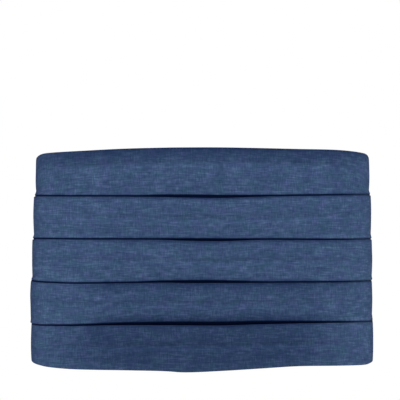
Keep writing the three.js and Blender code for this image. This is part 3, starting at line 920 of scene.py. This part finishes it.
# Satin nickel plate, brushed from side to side. It gives the eye a soft grey gloss broken into
# fine level lines, a little paler and darker in patches where it is worn.
def clasp_material():
    m = new_material("satin_nickel_plate")
    coordinates = add_node(m, "ShaderNodeTexCoord").outputs["Object"]
    brush_scale = (1 / BRUSH_LENGTH, 1 / BRUSH_LENGTH, 1 / BRUSH_SPACING)
    stretched = add_node(
        m, "ShaderNodeVectorMath", {"operation": "MULTIPLY"}, i0=coordinates, i1=brush_scale
    ).outputs[0]
    brushed = add_node(m, "ShaderNodeTexNoise", Vector=stretched, Scale=1.0, Detail=3.0).outputs[0]
    worn = add_node(
        m, "ShaderNodeTexNoise", Vector=coordinates, Scale=1 / WORN_PATCH, Detail=3.0
    ).outputs[0]
    ramp = add_node(m, "ShaderNodeValToRGB", Fac=worn)
    ramp.color_ramp.elements[0].color = hex_colour("A9ABAF")
    ramp.color_ramp.elements[1].color = hex_colour("CBCDD0")
    roughness = add_node(
        m, "ShaderNodeMapRange", Value=brushed, From_Min=0.3, From_Max=0.7, To_Min=0.26, To_Max=0.42
    ).outputs[0]
    bump = add_node(
        m, "ShaderNodeBump", Strength=0.15, Distance=BRUSH_DEPTH, Height=brushed
    ).outputs[0]
    shader = add_node(
        m,
        "ShaderNodeBsdfPrincipled",
        Base_Color=ramp.outputs[0],
        Metallic=1.0,
        Roughness=roughness,
        Normal=bump,
    ).outputs[0]
    add_node(m, "ShaderNodeOutputMaterial", Surface=shader)
    return m


clasp_curve = bpy.data.curves.new("clasp_outline", "CURVE")
clasp_curve.dimensions = "2D"
clasp_curve.fill_mode = "BOTH"
clasp_curve.extrude = PLATE / 2 - PLATE_BEVEL
clasp_curve.bevel_depth = PLATE_BEVEL
clasp_curve.bevel_resolution = 3
clasp_curve.offset = -PLATE_BEVEL
half = CLASP_HEIGHT / 2
outlines = [rounded_outline(-CLASP_HALF_WIDTH, CLASP_HALF_WIDTH, -half, half, CLASP_CORNER)]
for near, far in (SLOT_X, (-SLOT_X[1], -SLOT_X[0])):
    outlines.append(rounded_outline(near, far, -SLOT_HALF_HEIGHT, SLOT_HALF_HEIGHT, SLOT_CORNER))
for outline in outlines:
    spline = clasp_curve.splines.new("POLY")
    spline.points.add(len(outline) - 1)
    for point, (x, z) in zip(spline.points, outline):
        point.co = (x, z, 0, 1)
    spline.use_cyclic_u = True
clasp_source = bpy.data.objects.new("clasp_source", clasp_curve)
bpy.context.scene.collection.objects.link(clasp_source)
depsgraph = bpy.context.evaluated_depsgraph_get()
clasp_mesh = bpy.data.meshes.new_from_object(clasp_source.evaluated_get(depsgraph))
bpy.data.objects.remove(clasp_source)
shape = bmesh.new()
shape.from_mesh(clasp_mesh)
bmesh.ops.remove_doubles(shape, verts=shape.verts, dist=0.001 * MM)
for vertex in shape.verts:
    x, z, out = vertex.co
    vertex.co = (x, BACK_Y + MID_OUT + out, z)
bmesh.ops.recalc_face_normals(shape, faces=shape.faces)
shape.to_mesh(clasp_mesh)
shape.free()
clasp_mesh.materials.clear()
clasp = add_piece("clasp_plate", clasp_mesh, clasp_material(), 35)
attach(clasp, "root")
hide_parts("clasp")

# The stage: a plain pale floor, matt so that it gives no gloss, and a white backdrop. Soft light
# comes from all round, and from two lights at the front, one a side, above the band.
FLOOR_HEIGHT = -0.3
BACKDROP_HALF = 2
BACKDROP_Y = CAMERA_DISTANCE + 2.5
LIGHT_SIZE = 0.9
LIGHT_POWER = 31.5
LIGHT_PLACES = {"light_left": (-1.49, -1.01, 1.26), "light_right": (1.56, -0.9, 1.26)}

floor_mesh = bpy.data.meshes.new("floor")
shape = bmesh.new()
bmesh.ops.create_grid(shape, x_segments=1, y_segments=1, size=20)
shape.to_mesh(floor_mesh)
shape.free()
floor = bpy.data.objects.new("floor", floor_mesh)
floor.location = (0, 0, FLOOR_HEIGHT)
bpy.context.scene.collection.objects.link(floor)
pale = new_material("floor_pale")
matt = add_node(
    pale, "ShaderNodeBsdfPrincipled", Base_Color=hex_colour("F4F4F3"), Roughness=0.9
).outputs[0]
add_node(pale, "ShaderNodeOutputMaterial", Surface=matt)
floor_mesh.materials.append(pale)

backdrop_mesh = bpy.data.meshes.new("backdrop")
corners = [(-1, -1), (1, -1), (1, 1), (-1, 1)]
backdrop_mesh.from_pydata(
    [(BACKDROP_HALF * x, 0, BACKDROP_HALF * z) for x, z in corners], [], [(0, 1, 2, 3)]
)
backdrop = bpy.data.objects.new("backdrop", backdrop_mesh)
backdrop.location = (0, BACKDROP_Y, 0)
bpy.context.scene.collection.objects.link(backdrop)
white = new_material("backdrop_white")
glow = add_node(white, "ShaderNodeEmission", Color=(1, 1, 1, 1), Strength=1.0).outputs[0]
add_node(white, "ShaderNodeOutputMaterial", Surface=glow)
backdrop_mesh.materials.append(white)

world = bpy.data.worlds.new("world")
bpy.context.scene.world = world
world.use_nodes = True
world.node_tree.nodes["Background"].inputs["Color"].default_value = (1, 1, 1, 1)
world.node_tree.nodes["Background"].inputs["Strength"].default_value = 0.3

for name, place in LIGHT_PLACES.items():
    light = bpy.data.lights.new(name, "AREA")
    light.size = LIGHT_SIZE
    light.energy = LIGHT_POWER
    made = bpy.data.objects.new(name, light)
    made.location = place
    made.rotation_euler = (-Vector(place)).to_track_quat("-Z", "Y").to_euler()
    bpy.context.scene.collection.objects.link(made)

bpy.context.scene.view_settings.view_transform = "Standard"
